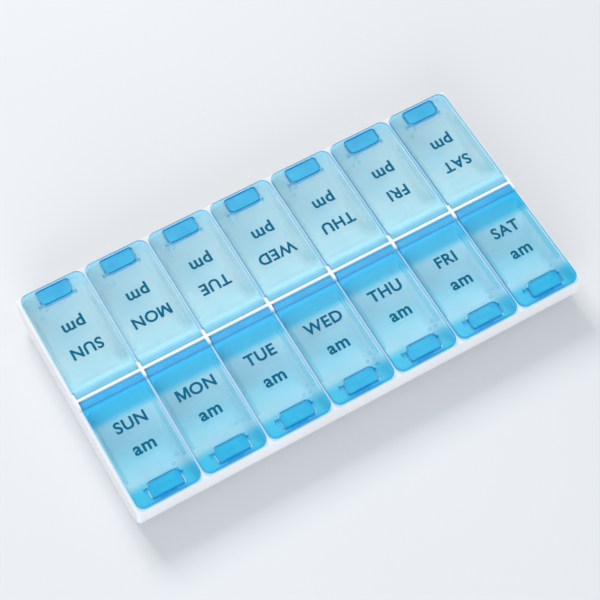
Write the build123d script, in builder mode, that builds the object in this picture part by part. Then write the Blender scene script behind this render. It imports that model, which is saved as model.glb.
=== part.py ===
"""Weekly pill organiser with a morning row and an evening row.

One white tray holds two rows of scooped compartments, back to back along a
thin ridge. Each compartment has its own translucent lid, hinged beside the
ridge on moulded pins, and each lid carries a rocking push button whose hook
reaches down behind the tray's outer wall.

Millimetres, +Z up. X runs along the week and Y across the two rows. The
origin is the middle of the face that the tray stands on.
"""

import os
from math import asin, cos, degrees, radians, sin, tan

from build123d import *

# Days along X, and the turn about Z that brings the pattern row to each side
days = ["sun", "mon", "tue", "wed", "thu", "fri", "sat"]
rows = {"am": 180, "pm": 0}
day_pitch = 24.0

# Tray
tray_height = 16.2
outer_round = 10.5
outer_wall = 1.5
divider = 1.6
end_margin = 0.7
end_round = 1.2
rim_margin = 0.6
rim_round = 0.4
foot_width = 3.0

# Scooped inside of a compartment
floor_thickness = 1.6
floor_rise = 2.2
ramp_angle = 58.0
ramp_round = 8.5
scoop_straight = 3.4
scoop_corner = 2.5
pocket_round = 2.2

# Hinge line
ridge_width = 1.0
barrel_radius = 1.4
barrel_gap = 0.25
groove_wall = 1.3
lug_thickness = 1.2
lug_radius = 1.0
lug_gap = 0.2
pin_radius = 0.6
pin_clearance = 0.05
pin_end_gap = 0.1

# Lid
lid_depth = 43.0
lid_thickness = 1.4
lid_gap = 0.8
lid_seat_gap = 0.15
lid_corner = 3.0
lid_edge_round = 0.5
lid_notch_gap = 0.3
rib_thickness = 0.8
rib_height = 1.8
rib_gap = 0.5
rib_inset = 3.0

# Button and latch
button_width = 11.6
button_depth = 5.4
button_inset = 1.1
button_gap = 0.4
button_inner_corner = 1.75
button_outer_corner = 0.8
button_edge_round = 0.3
pivot_radius = 0.5
pivot_drop = 0.75
pivot_inset = 0.9
boss_radius = 0.85
ear_thickness = 0.9
ear_radius = 1.15
ledge_width = 8.0
ledge_reach = 0.5
ledge_drop = 1.0
ledge_height = 0.8
hook_width = 6.0
hook_thickness = 1.2
hook_clearance = 0.5
catch_gap = 0.3
nose_reach = 0.8
nose_height = 1.2
nose_tip = 0.5

# How far a cutting or rooting shape runs past the face that it meets
overrun = 1.0

# Heights
lid_bottom = tray_height + lid_seat_gap
lid_top = lid_bottom + lid_thickness
axis_z = lid_top - barrel_radius
ridge_top = axis_z + lug_radius
groove_radius = barrel_radius + barrel_gap
groove_floor = axis_z - groove_radius
hollow_top = groove_floor - groove_wall
ledge_top = tray_height - ledge_drop
ledge_bottom = ledge_top - ledge_height

# Places across a row, as distances from the middle of the tray
axis_y = ridge_width / 2 + groove_radius
hinge_edge = axis_y - barrel_radius
lid_edge = hinge_edge + lid_depth
tray_edge = lid_edge + rim_margin
trough_inner = axis_y + groove_radius + groove_wall
trough_outer = tray_edge - outer_wall
hollow_half = tray_edge - outer_round - foot_width

# Scoop: a steep ramp on the hinge side, a small arc at its foot and a long arc up to the outer wall
lean = radians(ramp_angle)
foot_z = floor_rise + ramp_round * (1 - cos(lean))
foot_y = trough_inner + (tray_height - foot_z) / tan(lean)
low_y = foot_y + ramp_round * sin(lean)
scoop_top = tray_height - scoop_straight
scoop_run = trough_outer - low_y
scoop_climb = scoop_top - floor_rise
scoop_radius = (scoop_run**2 + scoop_climb**2) / (2 * scoop_climb)
scoop_sweep = degrees(asin(scoop_run / scoop_radius))
mouth_z = tray_height + overrun
mouth_y = trough_inner - overrun / tan(lean)

# Places along the week
tray_length = len(days) * day_pitch + 2 * end_margin
day_x = [(i - (len(days) - 1) / 2) * day_pitch for i in range(len(days))]
boundary_x = [day_x[0] - day_pitch / 2] + [x + day_pitch / 2 for x in day_x]
trough_width = day_pitch - divider
groove_length = day_pitch - lug_thickness
barrel_length = groove_length - 2 * lug_gap
lid_width = day_pitch - lid_gap

# Button places
button_outer = lid_edge - button_inset - button_gap
button_inner = button_outer - button_depth
button_mid = (button_outer + button_inner) / 2
pivot_y = button_inner + pivot_inset
pivot_z = lid_bottom - pivot_drop
ear_x = button_width / 2 + button_gap
nose_y = trough_outer - ledge_reach - hook_clearance
nose_z = ledge_bottom - catch_gap

os.makedirs("parts", exist_ok=True)

# Inside of one compartment, on the +Y side
with BuildPart() as trough:
    with BuildSketch(Plane.YZ) as trough_profile:
        with BuildLine():
            Line((mouth_y, mouth_z), (foot_y, foot_z))
            CenterArc((low_y, floor_rise + ramp_round), ramp_round, 270 - ramp_angle, ramp_angle)
            CenterArc((low_y, floor_rise + scoop_radius), scoop_radius, 270, scoop_sweep)
            Polyline((trough_outer, scoop_top), (trough_outer, mouth_z), (mouth_y, mouth_z))
        make_face()
        fillet(vertices().group_by(Axis.X)[-1].sort_by(Axis.Y)[0], scoop_corner)
    extrude(amount=trough_width / 2, both=True)
    side_edges = faces().filter_by(Axis.X).edges()
    fillet(side_edges.filter_by(lambda edge: edge.center().Z < mouth_z - overrun / 2), pocket_round)

with BuildPart() as tray:
    # Outer block with its large round lower edges
    with BuildSketch(Plane.YZ):
        with Locations((0, tray_height / 2)):
            Rectangle(2 * tray_edge, tray_height)
        fillet(vertices().group_by(Axis.Y)[0], outer_round)
    extrude(amount=tray_length / 2, both=True)
    end_edges = faces().filter_by(Axis.X).edges()
    fillet(end_edges.filter_by(lambda edge: edge.center().Z < tray_height - overrun / 2), end_round)
    fillet(faces().sort_by(Axis.Z)[-1].edges(), rim_round)
    # Compartments
    with Locations([Location((x, 0, 0), (0, 0, turn)) for x in day_x for turn in rows.values()]):
        add(trough.part, mode=Mode.SUBTRACT)
    # Grooves that the lid barrels turn in
    with BuildSketch(*[Plane.YZ.offset(x - groove_length / 2) for x in day_x]):
        with Locations((-axis_y, axis_z), (axis_y, axis_z)):
            Circle(groove_radius)
            Rectangle(2 * groove_radius, 2 * groove_radius, align=(Align.CENTER, Align.MIN))
    extrude(amount=groove_length, mode=Mode.SUBTRACT)
    # Hollow underside that follows the scoops at an even wall, between the foot strips and the end walls
    with BuildSketch(Plane.YZ):
        Rectangle(hollow_half, hollow_top, align=(Align.MIN, Align.MIN))
        offset(trough_profile.sketch_local, amount=floor_thickness, mode=Mode.SUBTRACT)
        mirror(about=Plane.YZ)
    extrude(amount=(len(days) * day_pitch - divider) / 2, both=True, mode=Mode.SUBTRACT)
    # Ridge between the rows
    with BuildSketch(Plane.XY.offset(groove_floor)):
        Rectangle(tray_length - 2 * rim_round, ridge_width)
    extrude(amount=ridge_top - groove_floor)
    # Hinge lugs at every day boundary, in one bar across both hinge lines
    with BuildSketch(*[Plane.YZ.offset(x - lug_thickness / 2) for x in boundary_x[1:-1]]) as lug:
        with Locations((0, groove_floor)):
            Rectangle(
                2 * (axis_y + lug_radius),
                ridge_top - groove_floor,
                align=(Align.CENTER, Align.MIN),
            )
        fillet(vertices().group_by(Axis.Y)[-1], lug_radius)
    extrude(amount=lug_thickness)
    with BuildSketch(Plane.YZ.offset(boundary_x[0] - end_margin + rim_round)):
        add(lug.sketch_local.faces()[0])
    extrude(amount=lug_thickness / 2 + end_margin - rim_round)
    with BuildSketch(Plane.YZ.offset(boundary_x[-1] - lug_thickness / 2)):
        add(lug.sketch_local.faces()[0])
    extrude(amount=lug_thickness / 2 + end_margin - rim_round)
    # Pin holes: right through between two days, blind at the ends
    with BuildSketch(Plane.YZ.offset(boundary_x[0])):
        with Locations((-axis_y, axis_z), (axis_y, axis_z)):
            Circle(pin_radius + pin_clearance)
    extrude(amount=len(days) * day_pitch, mode=Mode.SUBTRACT)
    # Catch ledges for the button hooks
    with BuildSketch(*[Plane.YZ.offset(x - ledge_width / 2) for x in day_x]):
        with BuildLine():
            Polyline(
                (trough_outer + outer_wall / 2, ledge_top),
                (trough_outer, ledge_top),
                (trough_outer - ledge_reach, ledge_top - ledge_height / 2),
                (trough_outer - ledge_reach, ledge_bottom),
                (trough_outer + outer_wall / 2, ledge_bottom),
                close=True,
            )
        make_face()
        mirror(about=Plane.YZ)
    extrude(amount=ledge_width)
tray.part.label = "tray"
export_step(tray.part, "parts/tray.step")

# Lid of the +Y row, before it goes to its day
with BuildPart() as lid_pattern:
    plate_start = axis_y + lug_radius + lid_notch_gap
    with BuildSketch(Plane.XY.offset(lid_bottom)):
        with Locations((0, plate_start)):
            Rectangle(lid_width, lid_edge - plate_start, align=(Align.CENTER, Align.MIN))
        fillet(vertices().group_by(Axis.Y)[-1], lid_corner)
    extrude(amount=lid_thickness)
    top_edges = faces().sort_by(Axis.Z)[-1].edges()
    fillet(top_edges.sort_by(Axis.Y)[1:], lid_edge_round)
    # Neck and barrel between the lugs, with a pin at each end
    with BuildSketch(Plane.XY.offset(lid_bottom)):
        with Locations((0, axis_y)):
            Rectangle(barrel_length, plate_start - axis_y, align=(Align.CENTER, Align.MIN))
    extrude(amount=lid_thickness)
    with BuildSketch(Plane.YZ):
        with Locations((axis_y, axis_z)):
            Circle(barrel_radius)
    extrude(amount=barrel_length / 2, both=True)
    with BuildSketch(Plane.YZ):
        with Locations((axis_y, axis_z)):
            Circle(pin_radius)
    extrude(amount=day_pitch / 2 - pin_end_gap, both=True)
    # Ribs that keep the lid between its dividers
    rib_start = trough_inner + rib_inset
    rib_end = button_inner - ear_radius - rib_inset
    with BuildSketch(Plane.XY.offset(lid_bottom)):
        with Locations((0, (rib_start + rib_end) / 2)):
            with GridLocations(trough_width - 2 * rib_gap - rib_thickness, 0, 2, 1):
                Rectangle(rib_thickness, rib_end - rib_start)
    extrude(amount=-rib_height)
    # Ears that hold the button's pivots
    with BuildSketch(Plane.YZ.offset(ear_x), Plane.YZ.offset(-ear_x - ear_thickness)):
        with Locations((pivot_y, pivot_z)):
            Circle(ear_radius)
        with Locations((pivot_y, lid_bottom + lid_thickness / 2)):
            Rectangle(2 * ear_radius, pivot_drop + lid_thickness / 2, align=(Align.CENTER, Align.MAX))
    extrude(amount=ear_thickness)
    with BuildSketch(Plane.YZ):
        with Locations((pivot_y, pivot_z)):
            Circle(pivot_radius + pin_clearance)
    extrude(amount=ear_x + ear_thickness, both=True, mode=Mode.SUBTRACT)
    # Window for the button
    with BuildSketch(Plane.XY.offset(lid_bottom)):
        with Locations((0, button_mid)):
            Rectangle(button_width + 2 * button_gap, button_depth + 2 * button_gap)
        fillet(vertices().group_by(Axis.Y)[0], button_inner_corner + button_gap)
        fillet(vertices().group_by(Axis.Y)[-1], button_outer_corner + button_gap)
    extrude(amount=lid_thickness, mode=Mode.SUBTRACT)

# Button of the +Y row: cap, rocking boss with its two pivots, and hook
with BuildPart() as button_pattern:
    with BuildSketch(Plane.XY.offset(lid_bottom)):
        with Locations((0, button_mid)):
            Rectangle(button_width, button_depth)
        fillet(vertices().group_by(Axis.Y)[0], button_inner_corner)
        fillet(vertices().group_by(Axis.Y)[-1], button_outer_corner)
    extrude(amount=lid_thickness)
    fillet(faces().sort_by(Axis.Z)[-1].edges(), button_edge_round)
    boss_length = button_width - 2 * button_inner_corner
    with BuildSketch(Plane.YZ):
        with Locations((pivot_y, pivot_z)):
            Circle(boss_radius)
        with Locations((pivot_y, pivot_z)):
            Rectangle(
                2 * boss_radius,
                pivot_drop + lid_thickness / 2,
                align=(Align.CENTER, Align.MIN),
            )
    extrude(amount=boss_length / 2, both=True)
    with BuildSketch(Plane.YZ):
        with Locations((pivot_y, pivot_z)):
            Circle(pivot_radius)
    extrude(amount=ear_x + ear_thickness, both=True)
    with BuildSketch(Plane.YZ):
        with BuildLine():
            hook_outer = nose_y - nose_reach
            hook_inner = hook_outer - hook_thickness
            Polyline(
                (hook_inner, lid_bottom + lid_thickness / 2),
                (hook_outer, lid_bottom + lid_thickness / 2),
                (hook_outer, nose_z),
                (nose_y, nose_z),
                (nose_y, nose_z - nose_tip),
                (hook_outer, nose_z - nose_height),
                (hook_inner, nose_z - nose_height),
                close=True,
            )
        make_face()
    extrude(amount=hook_width / 2, both=True)

# Every lid and every button in its place
for row, turn in rows.items():
    for day, x in zip(days, day_x):
        place = Location((x, 0, 0), (0, 0, turn))
        with BuildPart() as lid:
            with Locations(place):
                add(lid_pattern.part)
        lid.part.label = f"lid_{day}_{row}"
        export_step(lid.part, f"parts/{lid.part.label}.step")
        with BuildPart() as button:
            with Locations(place):
                add(button_pattern.part)
        button.part.label = f"button_{day}_{row}"
        export_step(button.part, f"parts/{button.part.label}.step")
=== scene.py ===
"""Finishes, lid print, tactile dots and studio for the weekly pill organiser.

Metres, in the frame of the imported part: X along the week, Y across the two rows, Z up.
"""

from math import cos, pi, radians, sin

import bpy
from mathutils import Matrix, Vector


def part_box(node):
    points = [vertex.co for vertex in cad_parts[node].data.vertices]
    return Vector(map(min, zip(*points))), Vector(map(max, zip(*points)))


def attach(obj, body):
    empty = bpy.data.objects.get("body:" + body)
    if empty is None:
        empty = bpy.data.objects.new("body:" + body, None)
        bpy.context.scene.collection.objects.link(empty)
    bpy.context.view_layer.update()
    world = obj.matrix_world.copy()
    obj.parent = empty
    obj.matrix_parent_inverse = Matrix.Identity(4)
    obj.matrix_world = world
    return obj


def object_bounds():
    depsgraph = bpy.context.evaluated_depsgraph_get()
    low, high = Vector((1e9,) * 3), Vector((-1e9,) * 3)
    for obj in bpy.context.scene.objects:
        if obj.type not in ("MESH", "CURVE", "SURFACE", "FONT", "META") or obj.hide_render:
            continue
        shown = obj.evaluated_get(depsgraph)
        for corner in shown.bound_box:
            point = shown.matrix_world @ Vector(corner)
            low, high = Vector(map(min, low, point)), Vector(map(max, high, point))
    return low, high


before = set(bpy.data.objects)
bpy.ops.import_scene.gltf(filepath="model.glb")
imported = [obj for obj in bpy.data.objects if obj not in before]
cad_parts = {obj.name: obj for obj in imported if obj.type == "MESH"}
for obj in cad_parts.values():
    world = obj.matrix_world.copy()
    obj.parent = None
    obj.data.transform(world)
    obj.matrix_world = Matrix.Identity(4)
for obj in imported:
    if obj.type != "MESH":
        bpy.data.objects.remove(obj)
cad_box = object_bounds()

MM = 0.001

# Days along the week, and the turn about Z that brings the morning row's print to each row
DAYS = ("sun", "mon", "tue", "wed", "thu", "fri", "sat")
ROWS = {"am": 0.0, "pm": pi}

# Print on the lids, measured from the middle of the tray
DAY_PLACE = 15.2 * MM
DAY_HEIGHT = 4.2 * MM
DAY_STRETCH = 0.98
HALF_DAY_PLACE = 25.3 * MM
HALF_DAY_HEIGHT = 3.1 * MM
INK_THICKNESS = 0.03 * MM

# Letters, in parts of the face's own size; the outline of the M is in parts of its height
LETTER_WEIGHT = 0.026
LETTER_SPACE = 1.08
LETTER_STEPS = 8
CAPITAL_M_WIDTH = 1.08
CAPITAL_M_GAP = 0.1
CAPITAL_M = (
    (0.0, 0.0), (0.0, 1.0), (0.26, 1.0), (0.54, 0.36), (0.82, 1.0), (CAPITAL_M_WIDTH, 1.0),
    (CAPITAL_M_WIDTH, 0.0), (0.88, 0.0), (0.88, 0.62), (0.62, 0.03), (0.46, 0.03), (0.20, 0.62), (0.20, 0.0),
)

# Tactile dots beside each button: one cell of two columns by three lines
CELL_X = 5.4 * MM
CELL_Y = 32.6 * MM
DOT_PITCH = 2.3 * MM
DOT_DIAMETER = 1.2 * MM
DOT_HEIGHT = 0.27 * MM
DOT_SEGMENTS = 20
DOT_RINGS = 12
LETTER_DOTS = {
    "s": ((0, 1), (1, 0), (0, 2)),
    "m": ((0, 0), (1, 0), (0, 2)),
    "t": ((0, 1), (1, 0), (1, 1), (0, 2)),
    "w": ((1, 0), (0, 1), (1, 1), (1, 2)),
    "f": ((0, 0), (1, 0), (0, 1)),
}

# White tray: scales are in waves per metre
TRAY_WHITES = (0.80, 0.80, 0.81), (0.85, 0.85, 0.855)
TRAY_TONE_SCALE = 40
TRAY_ROUGHNESS = 0.3, 0.42
TRAY_GLOSS_SCALE = 900
TRAY_SPECULAR = 0.45
TRAY_GRAIN = {"scale": 2200, "depth": 0.05 * MM, "strength": 0.05}
PLASTIC_IOR = 1.49

# Blue plates: how uneven their cloudiness, gloss and faces are
CLOUD_RANGE = 0.85, 1.15
CLOUD_SCALE = 160
BLUE_ROUGHNESS = 0.12, 0.2
BLUE_GLOSS_SCALE = 700
BLUE_RELIEF = {"scale": 260, "depth": 0.04 * MM, "strength": 0.08}

# Painted shade: a lid's colour deepens at its hinge and at its latch, where the compartment below lies in
# shade; distances from the middle of the tray between which the colour changes
HINGE_PAINTED_SHADE = (9.5 * MM, 13.0 * MM)
LATCH_PAINTED_SHADE = (34.5 * MM, 39.0 * MM)

# Hinge barrel, thicker than the plate: where it ends, how much cloudier it is and how much of an edge it shows
BARREL_END = (3.4 * MM, 4.0 * MM)
BARREL_SHARE = 0.4
BARREL_EDGE = 0.3

# Edges of the blue plates: the light that they pass, the colour that they show and how much of it.
# A face counts as an edge by how little of its normal points up or down.
EDGE_TINT = (0.20, 0.64, 0.86)
EDGE_BODY = (0.02, 0.34, 0.60)
EDGE_SHARE = 0.4
EDGE_NORMAL = (0.3, 0.95)

# Parts that hang below a plate: where they start and how far they take the deeper colour
LID_THICKNESS = 1.4 * MM
BELOW_PLATE = 0.3 * MM
HIDDEN_DEPTH = 0.5

# Print
INK_TEALS = (0.001, 0.105, 0.20), (0.002, 0.145, 0.26)
INK_TONE_SCALE = 1400
INK_ROUGHNESS = 0.5, 0.65
INK_GLOSS_SCALE = 900
INK_IOR = 1.45
INK_SPECULAR = 0.12

# Studio
FLOOR_REACH = 4.0
FLOOR_GREYS = (0.73, 0.74, 0.755), (0.75, 0.76, 0.775)
FLOOR_TONE_SCALE = 6
FLOOR_ROUGHNESS = 0.9
FLOOR_SPECULAR = 0.1
SKY_COLOUR = (0.93, 0.96, 1.0)
SKY_STRENGTH = 0.62

# Camera
VIEW_AZIMUTH = radians(-30)
VIEW_ELEVATION = radians(62)
VIEW_DISTANCE = 0.6
LENS = 106
SENSOR = 36

# Sockets of a Mix node that mixes colours
MIX_SHARE, MIX_START, MIX_END, MIX_RESULT = 0, 6, 7, 2


def wire(tree, *links):
    """Joins pairs of sockets."""
    for start, end in links:
        tree.links.new(start, end)


def put(tree, kind, **values):
    """A new node with its named inputs set; underscores stand for spaces."""
    made = tree.nodes.new(kind)
    for name, value in values.items():
        made.inputs[name.replace("_", " ")].default_value = value
    return made


def start_material(name):
    """An empty node tree with its output and the piece's own coordinates."""
    material = bpy.data.materials.new(name)
    material.use_nodes = True
    tree = material.node_tree
    tree.nodes.clear()
    output = put(tree, "ShaderNodeOutputMaterial")
    place = put(tree, "ShaderNodeTexCoord").outputs["Object"]
    return material, tree, output.inputs["Surface"], place


def noise(tree, place, scale, detail=2.0):
    """Noise value at the piece's own coordinates; scale is in waves per metre."""
    made = put(tree, "ShaderNodeTexNoise", Scale=scale, Detail=detail)
    wire(tree, (place, made.inputs["Vector"]))
    return made.outputs["Fac"]


def spread(tree, value, low, high, start=0.0, end=1.0):
    """A value brought from start..end to low..high."""
    made = put(tree, "ShaderNodeMapRange", From_Min=start, From_Max=end, To_Min=low, To_Max=high)
    wire(tree, (value, made.inputs["Value"]))
    return made.outputs["Result"]


def uneven(tree, place, scale, low, high, detail=2.0):
    """A value that wanders from low to high over the piece; most of a noise lies between 0.3 and 0.7."""
    return spread(tree, noise(tree, place, scale, detail), low, high, start=0.3, end=0.7)


def step(tree, value, start, end):
    """0 below start, 1 above end, with a soft change between."""
    made = put(tree, "ShaderNodeMapRange", From_Min=start, From_Max=end)
    made.interpolation_type = "SMOOTHSTEP"
    wire(tree, (value, made.inputs["Value"]))
    return made.outputs["Result"]


def reckon(tree, operation, first, second=None):
    """Arithmetic on one or two values."""
    made = tree.nodes.new("ShaderNodeMath")
    made.operation = operation
    for socket, value in zip(made.inputs, (first, second)):
        if isinstance(value, (int, float)):
            socket.default_value = value
        elif value is not None:
            wire(tree, (value, socket))
    return made.outputs["Value"]


def rest_of(tree, value):
    """What a value leaves of 1."""
    return reckon(tree, "SUBTRACT", 1.0, value)


def toward(tree, value, first, second):
    """A colour that runs from first, a socket or a colour, to the colour second as value runs from 0 to 1."""
    made = tree.nodes.new("ShaderNodeMix")
    made.data_type = "RGBA"
    if isinstance(first, tuple):
        made.inputs[MIX_START].default_value = (*first, 1)
    else:
        wire(tree, (first, made.inputs[MIX_START]))
    made.inputs[MIX_END].default_value = (*second, 1)
    wire(tree, (value, made.inputs[MIX_SHARE]))
    return made.outputs[MIX_RESULT]


def mixed(tree, share, first, second):
    """A shader that runs from first to second as share runs from 0 to 1."""
    made = tree.nodes.new("ShaderNodeMixShader")
    wire(tree, (share, made.inputs["Fac"]), (first, made.inputs[1]), (second, made.inputs[2]))
    return made.outputs["Shader"]


def moulded_relief(tree, place, scale, depth, strength):
    """Fine unevenness of a moulded face."""
    relief = put(tree, "ShaderNodeBump", Strength=strength, Distance=depth)
    wire(tree, (noise(tree, place, scale, detail=3.0), relief.inputs["Height"]))
    return relief.outputs["Normal"]


def white_tray_plastic():
    """Satin opaque white, a little uneven in tone and gloss."""
    material, tree, surface, place = start_material("tray_white_satin")
    skin = put(tree, "ShaderNodeBsdfPrincipled", IOR=PLASTIC_IOR, Specular_IOR_Level=TRAY_SPECULAR)
    tone = uneven(tree, place, TRAY_TONE_SCALE, 0, 1, detail=4.0)
    wire(
        tree,
        (toward(tree, tone, *TRAY_WHITES), skin.inputs["Base Color"]),
        (uneven(tree, place, TRAY_GLOSS_SCALE, *TRAY_ROUGHNESS, detail=3.0), skin.inputs["Roughness"]),
        (moulded_relief(tree, place, **TRAY_GRAIN), skin.inputs["Normal"]),
        (skin.outputs["BSDF"], surface),
    )
    return material


def blue_plastic(name, tint, body, share, hidden_share, polish, deep_tint=None, deep_body=None, painted_shade=0.0):
    """Glossy see-through blue: tint is the light it passes, body the colour that it shows of itself.

    Edges are deeper than flat faces, because one looks along more plastic there. A lid given painted shade is
    deeper at its hinge and at its latch, where the compartment below lies in shade. What hangs below the plate
    is clearer. Lamps shine through, so that they reach what is inside.
    """
    material, tree, surface, place = start_material(name)
    facing = put(tree, "ShaderNodeSeparateXYZ")
    spot = put(tree, "ShaderNodeSeparateXYZ")
    wire(
        tree,
        (put(tree, "ShaderNodeTexCoord").outputs["Normal"], facing.inputs["Vector"]),
        (place, spot.inputs["Vector"]),
    )

    # Where on the plate this is
    in_plate = step(tree, spot.outputs["Z"], plate_bottom - BELOW_PLATE, plate_bottom)
    level = step(tree, reckon(tree, "ABSOLUTE", facing.outputs["Z"]), *EDGE_NORMAL)
    across = reckon(tree, "ABSOLUTE", spot.outputs["Y"])
    past_barrel = step(tree, across, *BARREL_END)
    edge = reckon(tree, "MULTIPLY", rest_of(tree, level), in_plate)
    edge = reckon(tree, "MULTIPLY", edge, spread(tree, past_barrel, BARREL_EDGE, 1.0))
    # Painted shade: deeper colour near the hinge and the latch, where the compartment below lies in shade
    hinge_painted_shade = rest_of(tree, step(tree, across, *HINGE_PAINTED_SHADE))
    painted_shade_bands = reckon(tree, "MAXIMUM", hinge_painted_shade, step(tree, across, *LATCH_PAINTED_SHADE))
    hidden = reckon(tree, "MULTIPLY", rest_of(tree, in_plate), HIDDEN_DEPTH)
    # The deeper colour is painted shade at hinge and latch, or the colour of what hangs below the plate
    deep = reckon(tree, "MAXIMUM", reckon(tree, "MULTIPLY", painted_shade_bands, painted_shade), hidden)

    # Colours, and how cloudy the plastic is
    # Painted shade and the parts below the plate take the deeper colours
    passed = toward(tree, deep, tint, deep_tint or tint)
    shown = toward(tree, deep, body, deep_body or body)
    edge_film = reckon(tree, "MULTIPLY", edge, EDGE_SHARE)
    barrel_film = spread(tree, past_barrel, BARREL_SHARE, 0)
    plate_film = spread(tree, in_plate, hidden_share, share)
    film = reckon(tree, "ADD", plate_film, reckon(tree, "MAXIMUM", edge_film, barrel_film))
    cloudy = reckon(tree, "MULTIPLY", film, uneven(tree, place, CLOUD_SCALE, *CLOUD_RANGE, detail=3.0))

    # Gloss on the outer faces alone
    outside = rest_of(tree, put(tree, "ShaderNodeNewGeometry").outputs["Backfacing"])
    mirror = reckon(tree, "MULTIPLY", put(tree, "ShaderNodeFresnel", IOR=polish).outputs["Fac"], outside)
    sheen = uneven(tree, place, BLUE_GLOSS_SCALE, *BLUE_ROUGHNESS)
    relief = moulded_relief(tree, place, **BLUE_RELIEF)

    clear = put(tree, "ShaderNodeBsdfTransparent")
    skin = put(tree, "ShaderNodeBsdfPrincipled", IOR=PLASTIC_IOR)
    gloss = put(tree, "ShaderNodeBsdfGlossy")
    lamp_ray = put(tree, "ShaderNodeLightPath").outputs["Is Shadow Ray"]
    plastic = mixed(tree, cloudy, clear.outputs["BSDF"], skin.outputs["BSDF"])
    polished = mixed(tree, mirror, plastic, gloss.outputs["BSDF"])
    wire(
        tree,
        (toward(tree, edge, passed, EDGE_TINT), clear.inputs["Color"]),
        (toward(tree, edge, shown, EDGE_BODY), skin.inputs["Base Color"]),
        (sheen, skin.inputs["Roughness"]),
        (sheen, gloss.inputs["Roughness"]),
        (relief, skin.inputs["Normal"]),
        (relief, gloss.inputs["Normal"]),
        (mixed(tree, lamp_ray, polished, clear.outputs["BSDF"]), surface),
    )
    return material


def teal_ink():
    """Dark teal print, slightly uneven where it was laid on."""
    material, tree, surface, place = start_material("lid_ink_teal")
    film = put(tree, "ShaderNodeBsdfPrincipled", IOR=INK_IOR, Specular_IOR_Level=INK_SPECULAR)
    patchy = uneven(tree, place, INK_TONE_SCALE, 0, 1, detail=3.0)
    wire(
        tree,
        (toward(tree, patchy, *INK_TEALS), film.inputs["Base Color"]),
        (uneven(tree, place, INK_GLOSS_SCALE, *INK_ROUGHNESS), film.inputs["Roughness"]),
        (film.outputs["BSDF"], surface),
    )
    return material


def pale_floor():
    """Pale paper floor."""
    material, tree, surface, place = start_material("studio_floor")
    paper = put(tree, "ShaderNodeBsdfPrincipled", Roughness=FLOOR_ROUGHNESS, Specular_IOR_Level=FLOOR_SPECULAR)
    tone = uneven(tree, place, FLOOR_TONE_SCALE, 0, 1)
    wire(
        tree,
        (toward(tree, tone, *FLOOR_GREYS), paper.inputs["Base Color"]),
        (paper.outputs["BSDF"], surface),
    )
    return material


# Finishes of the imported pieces
lid_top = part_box("lid_sun_am")[1].z
plate_bottom = lid_top - LID_THICKNESS
tray_white = white_tray_plastic()
# Painted shade at hinge and latch: in full on the morning lids, a third of it on the evening lids; the deep
# colours are those of that shade and of what hangs below the plate
lid_blue = {
    "am": blue_plastic(
        "lid_blue_am",
        tint=(0.92, 0.985, 0.99),
        deep_tint=(0.36, 0.90, 0.985),
        body=(0.30, 0.76, 1.0),
        deep_body=(0.01, 0.47, 0.85),
        share=0.18,
        hidden_share=0.05,
        painted_shade=1.0,
        polish=PLASTIC_IOR,
    ),
    "pm": blue_plastic(
        "lid_blue_pm",
        tint=(0.93, 0.98, 0.975),
        deep_tint=(0.72, 0.95, 0.985),
        body=(0.38, 0.78, 0.97),
        deep_body=(0.22, 0.74, 0.96),
        share=0.18,
        hidden_share=0.05,
        painted_shade=0.3,
        polish=PLASTIC_IOR,
    ),
}
button_blue = blue_plastic(
    "button_blue_deep",
    tint=(0.30, 0.84, 0.97),
    body=(0.01, 0.46, 0.74),
    share=0.65,
    hidden_share=0.15,
    polish=1.3,
)
ink = teal_ink()

for node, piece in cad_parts.items():
    kind, row = node.split("_")[0], node.split("_")[-1]
    finish = {"tray": tray_white, "lid": lid_blue.get(row), "button": button_blue}[kind]
    for slot in piece.material_slots:
        slot.material = finish


def add_piece(name, mesh):
    """A linked object at the origin for a mesh whose place is already in it."""
    piece = bpy.data.objects.new(name, mesh)
    bpy.context.scene.collection.objects.link(piece)
    return piece


def made_mesh(maker):
    """The plain mesh that an object's text or modifiers give; the object itself is removed."""
    bpy.context.view_layer.update()
    ready = maker.evaluated_get(bpy.context.evaluated_depsgraph_get())
    mesh = bpy.data.meshes.new_from_object(ready)
    bpy.data.objects.remove(maker)
    return mesh


def font_mesh(words):
    """Flat mesh of words in the built-in face, thickened, with its base line on Y = 0."""
    curve = bpy.data.curves.new("letters", "FONT")
    curve.body = words
    curve.offset = LETTER_WEIGHT
    curve.resolution_u = LETTER_STEPS
    curve.space_character = LETTER_SPACE
    return made_mesh(add_piece("letters", curve))


def span(mesh, axis):
    """Lowest and highest coordinate of a mesh along an axis."""
    values = [v.co[axis] for v in mesh.vertices]
    return min(values), max(values)


def joined(name, meshes):
    """One mesh of several."""
    points, faces = [], []
    for mesh in meshes:
        start = len(points)
        points += [v.co.copy() for v in mesh.vertices]
        faces += [[start + i for i in p.vertices] for p in mesh.polygons]
    whole = bpy.data.meshes.new(name)
    whole.from_pydata(points, [], faces)
    return whole


def letters(words, height, stretch=1.0):
    """Flat mesh of words of the given height above the base line, centred.

    The face's own capital M closes up when it is thickened, so that letter is drawn as an outline.
    """
    if words.startswith("M"):
        others = font_mesh(words[1:])
        size = span(others, 1)[1]
        shift = span(others, 0)[0] - (CAPITAL_M_WIDTH + CAPITAL_M_GAP) * size
        points = [(shift + x * size, y * size, 0) for x, y in CAPITAL_M]
        first = bpy.data.meshes.new("capital_m")
        first.from_pydata(points, [], [list(reversed(range(len(points))))])
        mesh = joined("letters", [first, others])
    else:
        mesh = font_mesh(words)
    left, right = span(mesh, 0)
    top = span(mesh, 1)[1]
    size = height / top
    mesh.transform(Matrix.Translation((-(left + right) / 2, -top / 2, 0)))
    mesh.transform(Matrix.Diagonal((size * stretch, size, 1, 1)))
    return mesh


def thickened(mesh, thickness):
    """The flat letters as a film with a top, sides and a bottom."""
    film = add_piece("film", mesh)
    wall = film.modifiers.new("film", "SOLIDIFY")
    wall.thickness = thickness
    wall.offset = 1.0
    return made_mesh(film)


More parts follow.
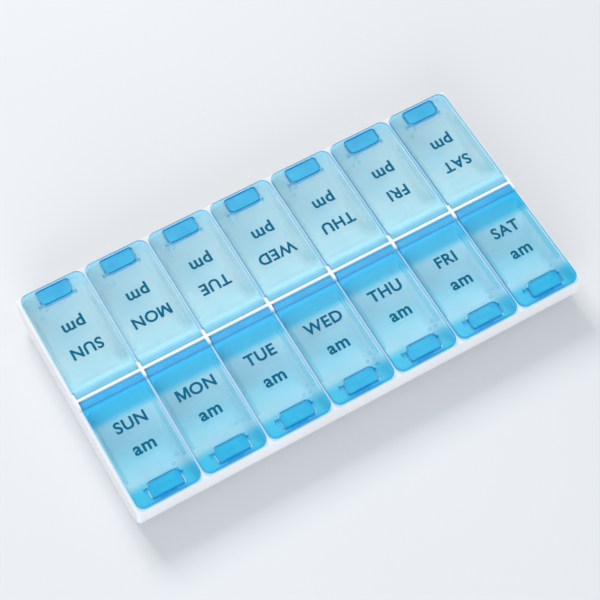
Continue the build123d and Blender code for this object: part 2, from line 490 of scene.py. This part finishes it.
def dome_tree():
    """Geometry Nodes tree that sets a low dome on every point of a mesh."""
    tree = bpy.data.node_groups.new("tactile_dots", "GeometryNodeTree")
    face = tree.interface
    face.new_socket("Geometry", in_out="INPUT", socket_type="NodeSocketGeometry")
    face.new_socket("Diameter", in_out="INPUT", socket_type="NodeSocketFloat")
    face.new_socket("Height", in_out="INPUT", socket_type="NodeSocketFloat")
    face.new_socket("Finish", in_out="INPUT", socket_type="NodeSocketMaterial")
    face.new_socket("Geometry", in_out="OUTPUT", socket_type="NodeSocketGeometry")
    given = tree.nodes.new("NodeGroupInput")
    result = tree.nodes.new("NodeGroupOutput")
    ball = put(tree, "GeometryNodeMeshUVSphere", Segments=DOT_SEGMENTS, Rings=DOT_RINGS, Radius=0.5)
    shape = tree.nodes.new("ShaderNodeCombineXYZ")
    domes = tree.nodes.new("GeometryNodeInstanceOnPoints")
    real = tree.nodes.new("GeometryNodeRealizeInstances")
    smooth = tree.nodes.new("GeometryNodeSetShadeSmooth")
    paint = tree.nodes.new("GeometryNodeSetMaterial")
    wire(
        tree,
        (given.outputs["Diameter"], shape.inputs["X"]),
        (given.outputs["Diameter"], shape.inputs["Y"]),
        (reckon(tree, "MULTIPLY", given.outputs["Height"], 2.0), shape.inputs["Z"]),
        (given.outputs["Geometry"], domes.inputs["Points"]),
        (ball.outputs["Mesh"], domes.inputs["Instance"]),
        (shape.outputs["Vector"], domes.inputs["Scale"]),
        (domes.outputs["Instances"], real.inputs["Geometry"]),
        (real.outputs["Geometry"], smooth.inputs["Geometry"]),
        (smooth.outputs["Geometry"], paint.inputs["Geometry"]),
        (given.outputs["Finish"], paint.inputs["Material"]),
        (paint.outputs["Geometry"], result.inputs["Geometry"]),
    )
    return tree


def dots_mesh(tree, places, finish):
    """Raised dots at the given places, as a plain mesh."""
    seeds = bpy.data.meshes.new("dots")
    seeds.from_pydata(places, [], [])
    maker = add_piece("dots", seeds)
    steps = maker.modifiers.new("dots", "NODES")
    steps.node_group = tree
    values = {"Diameter": DOT_DIAMETER, "Height": DOT_HEIGHT, "Finish": finish}
    for item in tree.interface.items_tree:
        if item.in_out == "INPUT" and item.name in values:
            steps[item.identifier] = values[item.name]
    return made_mesh(maker)


# Print and dots of every lid
dot_tree = dome_tree()
for row, turn in ROWS.items():
    half_day = letters(row, HALF_DAY_HEIGHT)
    half_day.transform(Matrix.Translation((0, -HALF_DAY_PLACE, 0)))
    for day in DAYS:
        lid = f"lid_{day}_{row}"
        low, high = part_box(lid)
        place = Matrix.Translation(((low.x + high.x) / 2, 0, lid_top)) @ Matrix.Rotation(turn, 4, "Z")

        day_name = letters(day.upper(), DAY_HEIGHT, DAY_STRETCH)
        day_name.transform(Matrix.Translation((0, -DAY_PLACE, 0)))
        film = thickened(joined(f"print_{day}_{row}", [day_name, half_day]), INK_THICKNESS)
        film.transform(place)
        film.materials.clear()
        film.materials.append(ink)
        words = add_piece(f"print_{day}_{row}", film)
        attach(words, lid)

        cell = [
            place @ Vector((CELL_X + column * DOT_PITCH, -CELL_Y - line * DOT_PITCH, 0))
            for column, line in LETTER_DOTS[day[0]]
        ]
        bumps = add_piece(f"dots_{day}_{row}", dots_mesh(dot_tree, cell, lid_blue[row]))
        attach(bumps, lid)


# Studio
corners = [(x * FLOOR_REACH, y * FLOOR_REACH, 0) for x, y in ((-1, -1), (1, -1), (1, 1), (-1, 1))]
floor_mesh = bpy.data.meshes.new("floor")
floor_mesh.from_pydata(corners, [], [(0, 1, 2, 3)])
floor_mesh.materials.append(pale_floor())
add_piece("floor", floor_mesh)

sky = bpy.data.worlds.new("studio")
sky.use_nodes = True
backdrop = sky.node_tree.nodes["Background"]
backdrop.inputs["Color"].default_value = (*SKY_COLOUR, 1)
backdrop.inputs["Strength"].default_value = SKY_STRENGTH
bpy.context.scene.world = sky


def lamp(name, place, size, power, colour, mirrored):
    """A square soft box that faces the organiser; only a mirrored one shows in its gloss."""
    light = bpy.data.lights.new(name, "AREA")
    light.size = size
    light.energy = power
    light.color = colour
    box = add_piece(name, light)
    box.location = place
    box.visible_glossy = mirrored
    box.rotation_euler = (-Vector(place)).to_track_quat("-Z", "Y").to_euler()


lamp("key", place=(-0.05, 0.88, 0.90), size=0.5, power=7.8, colour=(1.0, 0.99, 0.97), mirrored=False)
lamp("back_box", place=(0.30, 0.72, 1.06), size=0.6, power=1.4, colour=(1.0, 1.0, 1.0), mirrored=True)
lamp("front_fill", place=(-0.55, -0.85, 0.42), size=0.7, power=6.0, colour=(0.88, 0.95, 1.0), mirrored=False)

lens = bpy.data.cameras.new("camera")
lens.lens = LENS
lens.sensor_width = SENSOR
camera = add_piece("camera", lens)
backward = Vector((
    sin(VIEW_AZIMUTH) * cos(VIEW_ELEVATION),
    -cos(VIEW_AZIMUTH) * cos(VIEW_ELEVATION),
    sin(VIEW_ELEVATION),
))
aim = (cad_box[0] + cad_box[1]) / 2
camera.location = aim + backward * VIEW_DISTANCE
camera.rotation_euler = (-backward).to_track_quat("-Z", "Y").to_euler()
bpy.context.scene.camera = camera
bpy.context.scene.view_settings.view_transform = "Standard"
